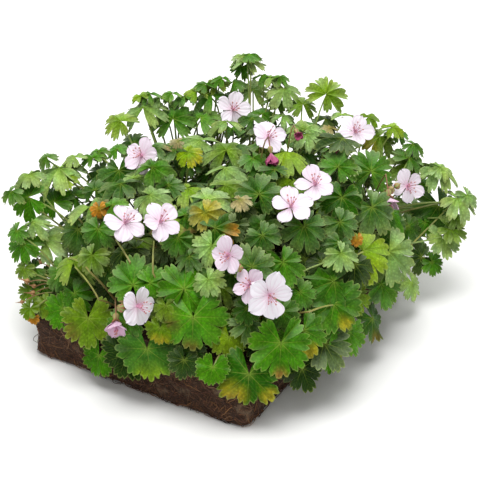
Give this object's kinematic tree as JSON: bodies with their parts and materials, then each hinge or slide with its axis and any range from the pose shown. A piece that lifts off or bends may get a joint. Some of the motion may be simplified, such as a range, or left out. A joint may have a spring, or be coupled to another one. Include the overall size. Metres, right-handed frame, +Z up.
{
  "type": "hardy geranium",
  "caption": "Low leafy mat of a hardy geranium with pale pink flowers, lifted out on its flat slab of soil and roots to set down or plant.",
  "frame": {"origin": "middle of the root mat's flat underside, which rests on the ground", "axes": "+Z up, X along the mat's shorter side of 200 mm, Y along its longer side of 250 mm, the corner at +X -Y nearest the camera in the picture"},
  "size_m": [0.3219, 0.3264, 0.1664],
  "materials": {
    "soil": "crumbly dark soil bound by fine roots",
    "leaf": "satin green leaf with paler veins",
    "stem": "satin green and reddish stalk",
    "petal": "soft matte pale pink petal"
  },
  "bodies": {
    "root": {"root_mat": "soil", "shoot_01": "leaf", "shoot_02": "leaf", "shoot_03": "leaf", "shoot_04": "leaf", "shoot_05": "leaf", "shoot_06": "leaf", "shoot_07": "leaf", "shoot_08": "leaf", "shoot_09": "leaf", "shoot_10": "leaf", "shoot_11": "leaf", "shoot_12": "leaf", "shoot_13": "leaf", "shoot_14": "leaf", "shoot_15": "leaf", "shoot_16": "leaf", "shoot_17": "leaf", "shoot_18": "leaf", "shoot_19": "leaf", "shoot_20": "leaf", "shoot_21": "leaf", "shoot_22": "leaf", "shoot_23": "leaf", "shoot_24": "leaf", "stem_01": "stem", "stem_02": "stem", "stem_03": "stem", "stem_04": "stem", "stem_05": "stem", "stem_06": "stem", "stem_07": "stem", "stem_08": "stem", "stem_09": "stem", "stem_10": "stem", "flower_01": "petal", "flower_02": "petal", "flower_03": "petal", "flower_04": "petal", "flower_05": "petal", "flower_06": "petal", "flower_07": "petal", "flower_08": "petal", "flower_09": "petal", "flower_10": "petal", "flower_11": "petal", "flower_12": "petal", "flower_13": "petal", "flower_14": "petal", "flower_15": "petal"}
  },
  "joints": []
}
